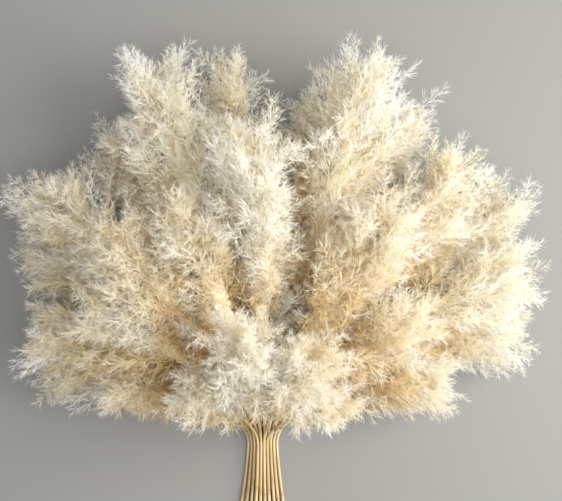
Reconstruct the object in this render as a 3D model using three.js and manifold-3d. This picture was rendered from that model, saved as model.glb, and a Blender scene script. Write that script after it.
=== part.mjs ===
// A bundle of dried pampas grass, laid down on a flat surface.
//
// Each of its stems is a culm, the bare straw stalk, that ends in one plume. The culms lie in rows where
// the bundle is gathered, and fan out from there: seen from above, as if from one point, the fan point, a
// little way on. A plume has a dense, slender inside that carries plumelets: drooping, pointed tufts, each
// as wide as its own silky hairs. Every plume keeps to its own room, and where a plumelet would cross a
// neighbour it is drawn in until it is clear.
//
// Millimetres. +Z is up. +Y runs from the cut ends towards the tallest plumes, and +X to their right when the
// bundle is seen from above. The origin is on the surface, under the middle of the bundle's outline box.
import * as THREE from "three";
import { mergeVertices } from "three/addons/utils/BufferGeometryUtils.js";
import Module from "manifold-3d";

const wasm = await Module();
wasm.setup();

// ---- Driving dimensions ----

const BOX_MIDDLE = { x: 16.6, y: 149.9 }; // middle of the outline box, measured from the fan point
const CLEARANCE = 0.3; // between two pieces that touch
const SEED = 20417;
const LINE_SAMPLES = 60; // points at which the lines of two stems are compared
const GROUND_SIZE = 2000; // of the block below the surface, wider and deeper than the bundle

const CULM = {
  radius: 2.3,
  pitch: 4.9, // centre to centre along a row, where the bundle is gathered
  rowPitch: 4.9, // from one row to the next
  gathered: 70, // from the fan point back to where the bundle is gathered
  tail: 155, // from there to the cut ends
  tailVariation: 16, // the culms were not cut to one length
  tailSpread: 1.9, // how much wider the rows lie at the cut ends
  tailFlare: 1.5, // above 1, they spread most near the cut ends
  tailPoints: [1, 0.5, 0.08], // shares of the tail at which its line is fixed
  sides: 6,
  stepsToPlume: 6,
};

// The line that a culm and its plume follow past the place where the bundle is gathered.
const LINE = {
  straightShare: 0.2, // of the way to its tip, along which it keeps to the bundle's own direction
  straightSpread: 1.6, // how much wider the rows lie there
  straightRise: 0.1, // how far it has risen there, as a share of its lift
  bendShare: 0.64, // of its reach, where its own direction and its lift pull on it
  bendRise: 1.22, // as a share of its lift, because the line passes below what pulls on it
};

const CORE = {
  baseRadius: 3.4, // where the culm ends and the plume begins
  girthShare: 0.42, // the radius of the plume's dense inside, as a share of its girth
  roomShare: 0.52, // it fills no more than this of the room between its neighbours
  leastRoom: 14, // a plume begins where its neighbours leave it this much room
  tipAllowance: 58, // the last plumelets reach this far past it
  swell: 0.34, // share of its length at which it has its full radius
  swellStart: -0.17, // it grows from this share on, so it has some of its radius at its base
  tipRoundness: 4, // the higher, the blunter its tip
  sides: 6,
  rings: 5,
};

const PLUMELET = {
  spacing: 14.3, // along the plume, from one plumelet to the next
  crowding: 0.85, // below 1, they stand closer together towards the plume's tip
  length: 92, // the longest, in the middle of a plume whose girth is girthReference
  girthReference: 62,
  baseFullness: 0.6, // length at the plume's base, as a share of the longest
  fullFrom: 0.4, // shares of the plume's length between which they are longest
  fullTo: 0.6,
  tipFullness: 0.72, // length at its tip
  shortest: 22,
  width: 42, // across the hairs on its two sides
  slimness: 0.46, // it is no wider than this share of its length
  thickness: 0.5, // as a share of its width
  turn: 137.5, // degrees round the axis from one plumelet to the next
  turnVariation: 25,
  openBase: 62, // degrees from the plume's axis, at its base
  openTip: 30, // and at its tip
  openHold: 2, // above 1, they close mostly near the tip
  openVariation: 0.16,
  lengthVariation: 0.16,
  arch: 0.1, // how far it bulges outward, as a share of its length
  weep: 0.2, // how far its end sinks back towards the cut ends, as a share of its length
  roomShare: 1.25, // it reaches this far past the middle between two plumes, where it meets no other
  pressed: 9, // a tip that meets the surface is pressed flat over this much of its height
  drawnIn: [1, 0.86, 0.74, 0.62, 0.52, 0.42, 0.34], // shares of its length that are tried
  comparedAt: [0.5, 0.75, 1], // shares of its length at which it has to lie in its own plume's room
};

// Each stem, from the bottom row of culms to the top one, and from left to right in its row.
// lean: direction of its tip seen from above, in degrees from +Y towards +X
// swing: how many degrees nearer to +Y its middle lies, where it droops to the side
// reach: from the fan point to its tip; girth: half the plume's width
// lift, tipLift: height of its line in the plume's middle and at its tip
const ROWS = [
  [
    { lean: -103, swing: 26, reach: 192, lift: 36, tipLift: 21, girth: 54 },
    { lean: -86, swing: 16, reach: 346, lift: 50, tipLift: 31, girth: 66 },
    { lean: -57, swing: 8, reach: 440, lift: 50, tipLift: 39, girth: 76 },
    { lean: -31, swing: -1, reach: 492, lift: 50, tipLift: 45, girth: 64 },
    { lean: -6.5, swing: 2, reach: 548, lift: 52, tipLift: 51, girth: 72 },
    { lean: 9, swing: -3, reach: 484, lift: 48, tipLift: 51, girth: 62 },
    { lean: 27.5, swing: 0, reach: 526, lift: 50, tipLift: 51, girth: 68 },
    { lean: 51, swing: 0, reach: 512, lift: 52, tipLift: 45, girth: 76 },
    { lean: 77, swing: 10, reach: 436, lift: 48, tipLift: 29, girth: 68 },
    { lean: 100, swing: 26, reach: 236, lift: 36, tipLift: 21, girth: 58 },
  ],
  [
    { lean: -86, swing: 18, reach: 238, lift: 120, tipLift: 96, girth: 62 },
    { lean: -74, swing: 12, reach: 378, lift: 112, tipLift: 78, girth: 70 },
    { lean: -45, swing: -1, reach: 488, lift: 116, tipLift: 96, girth: 78 },
    { lean: -17, swing: -5, reach: 554, lift: 120, tipLift: 110, girth: 76 },
    { lean: 17.5, swing: -2, reach: 552, lift: 122, tipLift: 118, girth: 82 },
    { lean: 39, swing: 0, reach: 498, lift: 118, tipLift: 104, girth: 76 },
    { lean: 63, swing: 4, reach: 458, lift: 114, tipLift: 84, girth: 76 },
    { lean: 86, swing: 16, reach: 296, lift: 104, tipLift: 68, girth: 64 },
  ],
  [
    { lean: -57, swing: 4, reach: 320, lift: 172, tipLift: 150, girth: 68 },
    { lean: -39, swing: 0, reach: 366, lift: 182, tipLift: 176, girth: 68 },
    { lean: -20, swing: 0, reach: 338, lift: 188, tipLift: 194, girth: 68 },
    { lean: -1, swing: 0, reach: 424, lift: 194, tipLift: 184, girth: 78 },
    { lean: 33, swing: 0, reach: 366, lift: 186, tipLift: 178, girth: 76 },
    { lean: 58, swing: 6, reach: 292, lift: 170, tipLift: 150, girth: 66 },
  ],
  [
    { lean: -66, swing: 0, reach: 136, lift: 160, tipLift: 190, girth: 62 },
    { lean: -12, swing: 0, reach: 166, lift: 232, tipLift: 274, girth: 64 },
    { lean: 38, swing: 0, reach: 156, lift: 222, tipLift: 262, girth: 64 },
    { lean: 84, swing: 0, reach: 138, lift: 150, tipLift: 172, girth: 60 },
  ],
];

const PLUME_MATERIAL = new THREE.MeshStandardMaterial({ color: 0xe9dcc0, roughness: 0.92, metalness: 0 });
const CULM_MATERIAL = new THREE.MeshStandardMaterial({ color: 0xc4ac78, roughness: 0.7, metalness: 0 });

// ---- Small helpers ----

const UP = new THREE.Vector3(0, 0, 1);
const BACK = new THREE.Vector3(0, -1, 0); // towards the cut ends
const radians = THREE.MathUtils.degToRad;
const lerp = THREE.MathUtils.lerp;
const smoothstep = THREE.MathUtils.smoothstep;

// Repeatable random numbers from 0 to 1.
function seededRandom(seed) {
  let state = seed >>> 0;
  return () => {
    state = (Math.imul(state, 1664525) + 1013904223) >>> 0;
    return state / 2 ** 32;
  };
}

const random = seededRandom(SEED);
const plusOrMinus = (amount) => amount * (2 * random() - 1);

// A direction square to the tangent, as near as it gets to the one that is wanted.
function squareTo(tangent, wanted) {
  return wanted.clone().addScaledVector(tangent, -wanted.dot(tangent)).normalize();
}

// How far a point is from the nearest of some others.
function nearest(point, others) {
  return Math.min(...others.map((other) => other.distanceTo(point)));
}

// A closed geometry as a solid.
function solidOf(geometry) {
  const bare = new THREE.BufferGeometry();
  bare.setAttribute("position", geometry.getAttribute("position"));
  bare.setIndex(geometry.index);
  const merged = mergeVertices(bare);
  return new wasm.Manifold(
    new wasm.Mesh({
      numProp: 3,
      vertProperties: merged.getAttribute("position").array,
      triVerts: new Uint32Array(merged.index.array),
    }),
  );
}

// A solid as a named, faceted mesh.
function meshOf(solid, name, material) {
  const { vertProperties, triVerts } = solid.getMesh();
  const indexed = new THREE.BufferGeometry();
  indexed.setAttribute("position", new THREE.BufferAttribute(new Float32Array(vertProperties), 3));
  indexed.setIndex(new THREE.BufferAttribute(new Uint32Array(triVerts), 1));
  const faceted = indexed.toNonIndexed();
  faceted.computeVertexNormals();
  const mesh = new THREE.Mesh(faceted, material);
  mesh.name = name;
  return mesh;
}

// A round geometry that stands on y from -1 to 1, laid along a curve. Its rings are scaled by radiusAt(t).
// What looks along +Z in it looks outward, and there it is thickness times as deep as it is wide.
function laidAlong(curve, geometry, { outward, radiusAt, thickness = 1 }) {
  const position = geometry.getAttribute("position");
  for (let i = 0; i < position.count; i++) {
    const t = THREE.MathUtils.clamp((position.getY(i) + 1) / 2, 0, 1);
    const tangent = curve.getTangent(t);
    const depth = squareTo(tangent, outward);
    const across = new THREE.Vector3().crossVectors(tangent, depth);
    const unitRadius = Math.hypot(position.getX(i), position.getZ(i));
    const scale = unitRadius > 1e-6 ? radiusAt(t) / unitRadius : 0;
    const point = curve.getPoint(t);
    point.addScaledVector(across, position.getX(i) * scale);
    point.addScaledVector(depth, position.getZ(i) * scale * thickness);
    position.setXYZ(i, point.x, point.y, point.z);
  }
  return solidOf(geometry);
}

// ---- The stems' lines ----

// A place in a row of culms.
function slotOf(row, place, count) {
  return {
    x: (place - (count - 1) / 2) * CULM.pitch,
    z: CULM.radius + 2 * CLEARANCE + row * CULM.rowPitch,
  };
}

// A point seen from the fan point.
function polarPoint(lean, reach, height) {
  return new THREE.Vector3(reach * Math.sin(radians(lean)), reach * Math.cos(radians(lean)), height);
}

// From where the bundle is gathered to the plume's tip.
function lineOf({ lean, swing, reach, lift, tipLift }, slot) {
  return new THREE.CubicBezierCurve3(
    new THREE.Vector3(slot.x, -CULM.gathered, slot.z),
    new THREE.Vector3(
      slot.x * LINE.straightSpread,
      lerp(-CULM.gathered, reach, LINE.straightShare),
      slot.z + lift * LINE.straightRise,
    ),
    polarPoint(lean - Math.sign(lean) * swing, reach * LINE.bendShare, lift * LINE.bendRise),
    polarPoint(lean, reach, tipLift),
  );
}

// The part of a stem's line from one share of its length to another, as a curve of its own.
class LinePart extends THREE.Curve {
  constructor(line, from, to) {
    super();
    Object.assign(this, { line, from, to });
  }
  getPoint(t, target = new THREE.Vector3()) {
    return this.line.getPointAt(lerp(this.from, this.to, t), target);
  }
}

// The room round a point of one stem: its share of the way to the nearest of the other lines.
function roomAt(point, stem, stems) {
  const others = stems.filter((other) => other !== stem);
  return Math.min(
    ...others.map((other) => (nearest(point, other.samples) * stem.girth) / (stem.girth + other.girth)),
  );
}

// All stems with their lines, and with the share of the line at which each plume begins and its core ends.
function plannedStems() {
  const stems = ROWS.flatMap((row, level) =>
    row.map((measures, place) => {
      const slot = slotOf(level, place, row.length);
      const line = lineOf(measures, slot);
      return { ...measures, slot, line, samples: line.getSpacedPoints(LINE_SAMPLES) };
    }),
  );
  for (const stem of stems) {
    const first = stem.samples.findIndex((point) => roomAt(point, stem, stems) > CORE.leastRoom);
    stem.plumeStart = first / LINE_SAMPLES;
    stem.coreEnd = 1 - CORE.tipAllowance / stem.line.getLength();
    stem.coreAxis = new LinePart(stem.line, stem.plumeStart, stem.coreEnd);
    stem.tail = CULM.tail + plusOrMinus(CULM.tailVariation);
  }
  return stems;
}

// ---- The culms ----

// A smooth curve whose steps fall on its points, so that a tube along it turns exactly there.
class SteppedCurve extends THREE.CatmullRomCurve3 {
  getPointAt(t, target) {
    return this.getPoint(t, target);
  }
  getTangentAt(t, target) {
    return this.getTangent(t, target);
  }
}

// The bare stalk, from its cut end to just below its plume.
function culmSolid({ line, slot, plumeStart, tail }) {
  const points = CULM.tailPoints.map((share) => {
    const spread = lerp(1, CULM.tailSpread, share ** CULM.tailFlare);
    return new THREE.Vector3(slot.x * spread, -CULM.gathered - tail * share, slot.z);
  });
  for (let i = 0; i <= CULM.stepsToPlume; i++) {
    points.push(line.getPointAt((plumeStart * i) / CULM.stepsToPlume));
  }
  points.at(-1).addScaledVector(line.getTangentAt(plumeStart), -CLEARANCE);
  const corners = Array.from({ length: CULM.sides }, (_, i) => {
    const turn = (2 * Math.PI * i) / CULM.sides;
    return new THREE.Vector2(CULM.radius * Math.cos(turn), CULM.radius * Math.sin(turn));
  });
  const culm = new THREE.ExtrudeGeometry(new THREE.Shape(corners), {
    extrudePath: new SteppedCurve(points),
    steps: points.length - 1,
    bevelEnabled: false,
  });
  return solidOf(mergeVertices(culm));
}

// ---- The plumes ----

// The dense inside of a plume, slender where its neighbours leave it little room.
function coreSolid(stem, stems) {
  const radiusAt = (t) => {
    if (t === 0) return CORE.baseRadius;
    const grown = smoothstep(t, CORE.swellStart, CORE.swell);
    const full = CORE.girthShare * stem.girth * grown * Math.sqrt(1 - t ** CORE.tipRoundness);
    return Math.min(full, CORE.roomShare * roomAt(stem.coreAxis.getPoint(t), stem, stems));
  };
  const cone = new THREE.ConeGeometry(1, 2, CORE.sides, CORE.rings);
  return laidAlong(stem.coreAxis, cone, { outward: UP, radiusAt });
}

// How long the plumelets are at t, as a share of the longest: full in the middle, blunt at the tip.
function fullness(t) {
  const fromBase = lerp(PLUMELET.baseFullness, 1, smoothstep(t, 0, PLUMELET.fullFrom));
  const toTip = lerp(1, PLUMELET.tipFullness, smoothstep(t, PLUMELET.fullTo, 1));
  return fromBase * toTip;
}

// What the k-th of count plumelets is like before it is fitted to its room.
function drawnPlumelet(stem, stems, k, count) {
  const t = ((k + 0.5) / count) ** PLUMELET.crowding;
  const root = stem.coreAxis.getPoint(t);
  const axis = stem.coreAxis.getTangent(t);
  const side = squareTo(axis, UP);
  const across = new THREE.Vector3().crossVectors(axis, side);
  const turn = radians(PLUMELET.turn * k + plusOrMinus(PLUMELET.turnVariation));
  const radial = side.multiplyScalar(Math.cos(turn)).addScaledVector(across, Math.sin(turn));
  const full = PLUMELET.length * (stem.girth / PLUMELET.girthReference) * fullness(t);
  const opened = lerp(PLUMELET.openBase, PLUMELET.openTip, t ** PLUMELET.openHold);
  const widest = radians(opened * (1 + plusOrMinus(PLUMELET.openVariation)));
  const inRoom = Math.min(1, (PLUMELET.roomShare * roomAt(root, stem, stems)) / full);
  const open = Math.min(widest, Math.asin(inRoom));
  const direction = axis.multiplyScalar(Math.cos(open)).addScaledVector(radial, Math.sin(open));
  const length = full * (1 + plusOrMinus(PLUMELET.lengthVariation));
  return { root, direction, radial, length, weep: PLUMELET.weep * (1 - t) };
}

// The line of a plumelet at some length: arched outward, its end sinking back.
function plumeletLine({ root, direction, radial, weep }, length) {
  const middle = root.clone().addScaledVector(direction, length / 2);
  middle.addScaledVector(radial, length * PLUMELET.arch);
  const tip = root.clone().addScaledVector(direction, length);
  tip.addScaledVector(BACK, length * weep);
  tip.z = Math.max(tip.z, -PLUMELET.pressed);
  return new THREE.QuadraticBezierCurve3(root, middle, tip);
}

// A plumelet as a solid: three-sided, pointed at both ends, with a ridge that looks away from the axis.
function plumeletSolid(curve, radial, length) {
  const width = Math.min(PLUMELET.width, length * PLUMELET.slimness);
  const spindle = new THREE.SphereGeometry(1, 3, 2).rotateY(Math.PI / 2);
  return laidAlong(curve, spindle, {
    outward: radial,
    thickness: PLUMELET.thickness,
    radiusAt: () => width / 2,
  });
}

// A plumelet keeps to its room where its outer half lies nearest its own line, in shares of the girths.
function keepsToItsRoom(curve, stem, stems) {
  return PLUMELET.comparedAt.every((t) => {
    const point = curve.getPoint(t);
    const own = nearest(point, stem.samples) / stem.girth;
    return stems.every((other) => other === stem || nearest(point, other.samples) / other.girth >= own);
  });
}

// Whether a solid clears all that is in place and belongs to another stem.
function isClear(solid, stem, placed) {
  const { min, max } = solid.boundingBox();
  const isNear = ({ box }) =>
    [0, 1, 2].every((i) => min[i] - CLEARANCE <= box.max[i] && box.min[i] - CLEARANCE <= max[i]);
  return placed.every(
    (other) =>
      other.stem === stem || !isNear(other) || other.solid.minGap(solid, 2 * CLEARANCE) >= CLEARANCE,
  );
}

// All plumelets of one plume. One that finds no room at its least length is left out.
function plumeletSolids(stem, stems, placed) {
  const made = [];
  const axisLength = stem.line.getLength() * (stem.coreEnd - stem.plumeStart);
  const count = Math.round(axisLength / PLUMELET.spacing);
  for (let k = 0; k < count; k++) {
    const drawn = drawnPlumelet(stem, stems, k, count);
    const lengths = PLUMELET.drawnIn.map((share) => share * drawn.length);
    for (const length of lengths.filter((each) => each >= PLUMELET.shortest)) {
      const curve = plumeletLine(drawn, length);
      if (!keepsToItsRoom(curve, stem, stems)) continue;
      const solid = plumeletSolid(curve, drawn.radial, length);
      if (!isClear(solid, stem, placed)) continue;
      placed.push({ solid, stem, box: solid.boundingBox() });
      made.push(solid);
      break;
    }
  }
  return made;
}

// What a plume presses against the surface lies flat on it.
function restedOnSurface(solid) {
  const ground = new THREE.BoxGeometry(GROUND_SIZE, GROUND_SIZE, GROUND_SIZE);
  ground.translate(0, 0, -GROUND_SIZE / 2);
  const bodies = solid.subtract(solidOf(ground)).decompose();
  return bodies.sort((a, b) => b.volume() - a.volume())[0];
}

// ---- The bundle ----

const stems = plannedStems();
const placed = [];
for (const stem of stems) {
  stem.culm = culmSolid(stem);
  stem.core = coreSolid(stem, stems);
  for (const solid of [stem.culm, stem.core]) {
    placed.push({ solid, stem, box: solid.boundingBox() });
  }
}

const bundle = new THREE.Group();
bundle.position.set(-BOX_MIDDLE.x, -BOX_MIDDLE.y, 0);
stems.forEach((stem, i) => {
  const number = String(i + 1).padStart(2, "0");
  const plume = wasm.Manifold.union([stem.core, ...plumeletSolids(stem, stems, placed)]);
  bundle.add(
    new THREE.Group().add(
      meshOf(stem.culm, `culm_${number}`, CULM_MATERIAL),
      meshOf(restedOnSurface(plume), `plume_${number}`, PLUME_MATERIAL),
    ),
  );
});

export default bundle;
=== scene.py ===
"""A bundle of dried pampas grass, laid down: straw culms that fan out into soft, feathery plumes.

A plume is built as it grows. Its axis carries drooping branchlets, a branchlet carries twigs, and each twig
carries silky hairs. A few straight branchlets are modelled once. Every plume then bends copies of them along
lines of their own, which start on the plume's axis and stay in the room that its neighbours leave it.
"""

import math

import bpy
import numpy as np
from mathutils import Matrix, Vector


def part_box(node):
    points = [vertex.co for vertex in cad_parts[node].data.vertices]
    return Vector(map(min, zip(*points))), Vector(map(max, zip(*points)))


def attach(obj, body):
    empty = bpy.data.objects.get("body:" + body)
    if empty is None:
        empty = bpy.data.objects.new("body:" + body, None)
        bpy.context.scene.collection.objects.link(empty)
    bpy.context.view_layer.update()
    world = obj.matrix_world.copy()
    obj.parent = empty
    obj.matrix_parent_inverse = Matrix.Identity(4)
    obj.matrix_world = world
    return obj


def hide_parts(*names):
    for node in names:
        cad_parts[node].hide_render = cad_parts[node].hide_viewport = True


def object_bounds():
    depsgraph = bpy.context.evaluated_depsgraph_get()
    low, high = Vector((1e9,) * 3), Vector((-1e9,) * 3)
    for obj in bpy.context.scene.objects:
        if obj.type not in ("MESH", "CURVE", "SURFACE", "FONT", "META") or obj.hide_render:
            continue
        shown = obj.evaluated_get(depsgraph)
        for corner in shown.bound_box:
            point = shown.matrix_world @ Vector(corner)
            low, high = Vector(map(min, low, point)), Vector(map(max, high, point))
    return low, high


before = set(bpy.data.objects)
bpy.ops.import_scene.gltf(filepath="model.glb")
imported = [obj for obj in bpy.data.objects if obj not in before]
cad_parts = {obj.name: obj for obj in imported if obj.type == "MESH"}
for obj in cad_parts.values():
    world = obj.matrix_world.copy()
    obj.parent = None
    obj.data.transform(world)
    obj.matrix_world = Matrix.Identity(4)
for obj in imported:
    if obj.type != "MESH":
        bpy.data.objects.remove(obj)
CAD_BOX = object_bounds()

bl_info = {
    "name": "Pampas Grass Bundle",
    "version": (1, 0, 0),
    "blender": (4, 5, 0),
    "location": "View3D > Sidebar > Pampas",
    "description": "Builds a bundle of dried pampas grass, laid on a pale floor",
    "category": "Add Mesh",
}

# ---- The bundle's own measures, in millimetres. The stems' are those of the frame's solids ----

MM = 0.001
BOX_MIDDLE = np.array([16.6, 149.9, 0.0])  # middle of the outline box, measured from the fan point
CULM_RADIUS = 2.3
CULM_PITCH = 4.9
ROW_PITCH = 4.9
CLEARANCE = 0.3
GATHERED = 70.0  # from the fan point back to where the bundle is gathered
STRAIGHT_SHARE, STRAIGHT_SPREAD, STRAIGHT_RISE = 0.2, 1.6, 0.1
BEND_SHARE, BEND_RISE = 0.64, 1.22
LEAST_ROOM = 14.0  # a plume begins where its neighbours leave it this much room
LINE_SAMPLES = 60
RUN_SAMPLES = 401
TANGENT_STEP = 0.004  # of a line's length
FLUFF_AHEAD = 56.0  # a plume's lowest branchlets grow this far below its dense part
GOLDEN_TURN = math.radians(137.5)  # from one branchlet or twig to the next
UP = np.array([0.0, 0.0, 1.0])
BACK = np.array([0.0, -1.0, 0.0])  # towards the cut ends
ASKEW = np.array([0.31, 0.95, 0.08])  # turns are counted from here

# Each stem, from the bottom row of culms to the top one, and from left to right in its row:
# lean and swing in degrees, reach, lift, tip lift and girth in millimetres, and how pale its hairs are. The
# paleness is partly painted light: the 22nd plume, in front and in full light, is nearly white, and the 14th
# is made paler against its neighbours' shade.
ROWS = [
    [
        (-103, 26, 192, 36, 21, 54, 0.3),
        (-86, 16, 346, 50, 31, 66, 0.35),
        (-57, 8, 440, 50, 39, 76, 0.4),
        (-31, -1, 492, 50, 45, 64, 0.5),
        (-6.5, 2, 548, 52, 51, 72, 0.78),
        (9, -3, 484, 48, 51, 62, 0.4),
        (27.5, 0, 526, 50, 51, 68, 0.6),
        (51, 0, 512, 52, 45, 76, 0.6),
        (77, 10, 436, 48, 29, 68, 0.6),
        (100, 26, 236, 36, 21, 58, 0.5),
    ],
    [
        (-86, 18, 238, 120, 96, 62, 0.4),
        (-74, 12, 378, 112, 78, 70, 0.4),
        (-45, -1, 488, 116, 96, 78, 0.6),
        (-17, -5, 554, 120, 110, 76, 0.85),
        (17.5, -2, 552, 122, 118, 82, 0.7),
        (39, 0, 498, 118, 104, 76, 0.6),
        (63, 4, 458, 114, 84, 76, 0.6),
        (86, 16, 296, 104, 68, 64, 0.6),
    ],
    [
        (-57, 4, 320, 172, 150, 68, 0.45),
        (-39, 0, 366, 182, 176, 68, 0.5),
        (-20, 0, 338, 188, 194, 68, 0.6),
        (-1, 0, 424, 194, 184, 78, 0.95),
        (33, 0, 366, 186, 178, 76, 0.5),
        (58, 6, 292, 170, 150, 66, 0.5),
    ],
    [
        (-66, 0, 136, 160, 190, 62, 0.5),
        (-12, 0, 166, 232, 274, 64, 0.9),
        (38, 0, 156, 222, 262, 64, 0.55),
        (84, 0, 138, 150, 172, 60, 0.5),
    ],
]


# ---- Settings that a user would change ----


class PlumeSettings(bpy.types.PropertyGroup):
    spacing: bpy.props.FloatProperty(
        name="Branchlet spacing", description="Along a plume, from one branchlet to the next",
        default=0.0022, unit="LENGTH",
    )
    length: bpy.props.FloatProperty(
        name="Branchlet length", description="The longest branchlets of a plume of usual girth",
        default=0.098, unit="LENGTH",
    )
    hair_length: bpy.props.FloatProperty(
        name="Hair length", description="Length of the longest silky hairs",
        default=0.0215, unit="LENGTH",
    )
    hair_width: bpy.props.FloatProperty(
        name="Hair width", description="Width of a hair at its bend",
        default=0.00066, unit="LENGTH",
    )
    seed: bpy.props.IntProperty(
        name="Seed", description="Where the random draws start", default=7,
    )
    white: bpy.props.FloatVectorProperty(
        name="Bleached tips", description="Colour of the palest hairs' tips", subtype="COLOR",
        default=(0.94, 0.94, 0.88),
    )
    pale: bpy.props.FloatVectorProperty(
        name="Tips", description="Colour of the hairs' tips", subtype="COLOR",
        default=(0.90, 0.862, 0.69),
    )
    warm: bpy.props.FloatVectorProperty(
        name="Hairs", description="Colour of the hairs halfway in", subtype="COLOR",
        default=(0.84, 0.625, 0.27),
    )
    deep: bpy.props.FloatVectorProperty(
        name="Inside", description="Colour of the hairs next to the plume's axis", subtype="COLOR",
        default=(0.60, 0.30, 0.05),
    )


class CulmSettings(bpy.types.PropertyGroup):
    straw: bpy.props.FloatVectorProperty(
        name="Straw", description="Main colour of the culms", subtype="COLOR",
        default=(0.62, 0.49, 0.28),
    )
    streak: bpy.props.FloatVectorProperty(
        name="Streaks", description="Colour of the culms' darker streaks and nodes", subtype="COLOR",
        default=(0.36, 0.22, 0.09),
    )
    pith: bpy.props.FloatVectorProperty(
        name="Pith", description="Colour of the cut ends", subtype="COLOR",
        default=(0.80, 0.70, 0.50),
    )


class StageSettings(bpy.types.PropertyGroup):
    floor: bpy.props.FloatVectorProperty(
        name="Floor", description="Colour of the floor", subtype="COLOR",
        default=(0.222, 0.223, 0.216),
    )
    key: bpy.props.FloatProperty(
        name="Key light", description="Power of the light on the right", default=73.0, unit="POWER",
    )
    fill: bpy.props.FloatProperty(
        name="Fill light", description="Power of the light from above", default=34.0, unit="POWER",
    )


# ---- Small helpers ----


def deselected():
    """Leaves nothing selected and Blender in object mode."""
    if bpy.context.object and bpy.context.object.mode != "OBJECT":
        bpy.ops.object.mode_set(mode="OBJECT")
    bpy.ops.object.select_all(action="DESELECT")


def taken(thing):
    """A model's places and triangles. The model itself is removed."""
    mesh = thing.data
    mesh.calc_loop_triangles()
    places = np.empty(len(mesh.vertices) * 3)
    mesh.vertices.foreach_get("co", places)
    triangles = np.empty(len(mesh.loop_triangles) * 3, int)
    mesh.loop_triangles.foreach_get("vertices", triangles)
    bpy.data.objects.remove(thing)
    bpy.data.meshes.remove(mesh)
    return places.reshape(-1, 3), triangles.reshape(-1, 3)


def mesh_piece(name, places, triangles, material):
    """A new mesh object whose places are already those of the frame."""
    mesh = bpy.data.meshes.new(name)
    mesh.vertices.add(len(places))
    mesh.vertices.foreach_set("co", places.astype(np.float32).ravel())
    mesh.loops.add(triangles.size)
    mesh.loops.foreach_set("vertex_index", triangles.astype(np.int32).ravel())
    mesh.polygons.add(len(triangles))
    mesh.polygons.foreach_set("loop_start", np.arange(0, triangles.size, 3, dtype=np.int32))
    mesh.update(calc_edges=True)
    mesh.materials.append(material)
    thing = bpy.data.objects.new(name, mesh)
    bpy.context.scene.collection.objects.link(thing)
    return thing


def chart(thing, name, places):
    """A UV map with one place for each vertex."""
    mesh = thing.data
    corners = np.empty(len(mesh.loops), int)
    mesh.loops.foreach_get("vertex_index", corners)
    layer = mesh.uv_layers.new(name=name)
    layer.uv.foreach_set("vector", places[corners].astype(np.float32).ravel())


def unit(vectors):
    """The same directions with unit length."""
    return vectors / np.maximum(np.linalg.norm(vectors, axis=-1, keepdims=True), 1e-12)


def square_to(tangents, wanted):
    """Directions square to the tangents, as near as they get to those that are wanted."""
    along = (tangents * wanted).sum(-1, keepdims=True)
    return unit(wanted - along * tangents)


def smooth_step(x, low, high):
    """0 below low and 1 above high, with a soft change between."""
    t = np.clip((x - low) / (high - low), 0, 1)
    return t * t * (3 - 2 * t)


def mix(a, b, share):
    """The value that lies this share of the way from a to b."""
    return a + (b - a) * share


def joined(parts):
    """Places and triangles of several meshes as those of one."""
    places = [part[0] for part in parts]
    starts = np.cumsum([0] + [len(p) for p in places[:-1]])
    return np.concatenate(places), np.concatenate([part[1] + start for part, start in zip(parts, starts)])


# ---- The stems' lines ----


class Stem:
    """One culm with its plume: its line, and where on it the plume begins."""

    def __init__(self, number, level, place, count, measures):
        self.number = number
        self.level = level
        lean, swing, reach, lift, tip_lift, self.girth, self.pale = measures
        self.slot_x = (place - (count - 1) / 2) * CULM_PITCH
        self.slot_z = CULM_RADIUS + 2 * CLEARANCE + level * ROW_PITCH
        straight_y = mix(-GATHERED, reach, STRAIGHT_SHARE)
        self.corners = np.array([
            (self.slot_x, -GATHERED, self.slot_z),
            (self.slot_x * STRAIGHT_SPREAD, straight_y, self.slot_z + lift * STRAIGHT_RISE),
            polar(lean - math.copysign(1, lean) * swing, reach * BEND_SHARE, lift * BEND_RISE),
            polar(lean, reach, tip_lift),
        ])
        steps = np.linalg.norm(np.diff(self.bezier(np.linspace(0, 1, RUN_SAMPLES)), axis=0), axis=1)
        self.run = np.concatenate([[0], np.cumsum(steps)])
        self.length = self.run[-1]
        self.samples = self.at(np.linspace(0, 1, LINE_SAMPLES + 1))

    def bezier(self, u):
        """Points on the line, unevenly spaced."""
        u = np.asarray(u)[..., None]
        p0, p1, p2, p3 = self.corners
        return (1 - u) ** 3 * p0 + 3 * (1 - u) ** 2 * u * p1 + 3 * (1 - u) * u ** 2 * p2 + u ** 3 * p3

    def at(self, share):
        """Points at shares of the line's length."""
        u = np.interp(np.asarray(share) * self.length, self.run, np.linspace(0, 1, len(self.run)))
        return self.bezier(u)

    def plume_samples(self):
        """Points on the line from where the plume begins."""
        return self.samples[int(self.plume_start * LINE_SAMPLES):]

    def tangent(self, share):
        """Directions of the line at shares of its length."""
        share = np.asarray(share)
        ahead = self.at(np.minimum(share + TANGENT_STEP, 1))
        behind = self.at(np.maximum(share - TANGENT_STEP, 0))
        return unit(ahead - behind)


def polar(lean, reach, height):
    """The point at a lean in degrees, and at a reach and a height."""
    turn = math.radians(lean)
    return (reach * math.sin(turn), reach * math.cos(turn), height)


def distances(points, stem):
    """How far each point is from the stem's line."""
    apart = points[:, None, :] - stem.samples[None, :, :]
    return np.sqrt((apart ** 2).sum(-1)).min(1)


def room_at(points, stem, stems):
    """Each point's share of the way to the nearest of the other lines."""
    shares = [distances(points, o) * stem.girth / (stem.girth + o.girth) for o in stems if o is not stem]
    return np.min(shares, axis=0)


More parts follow.
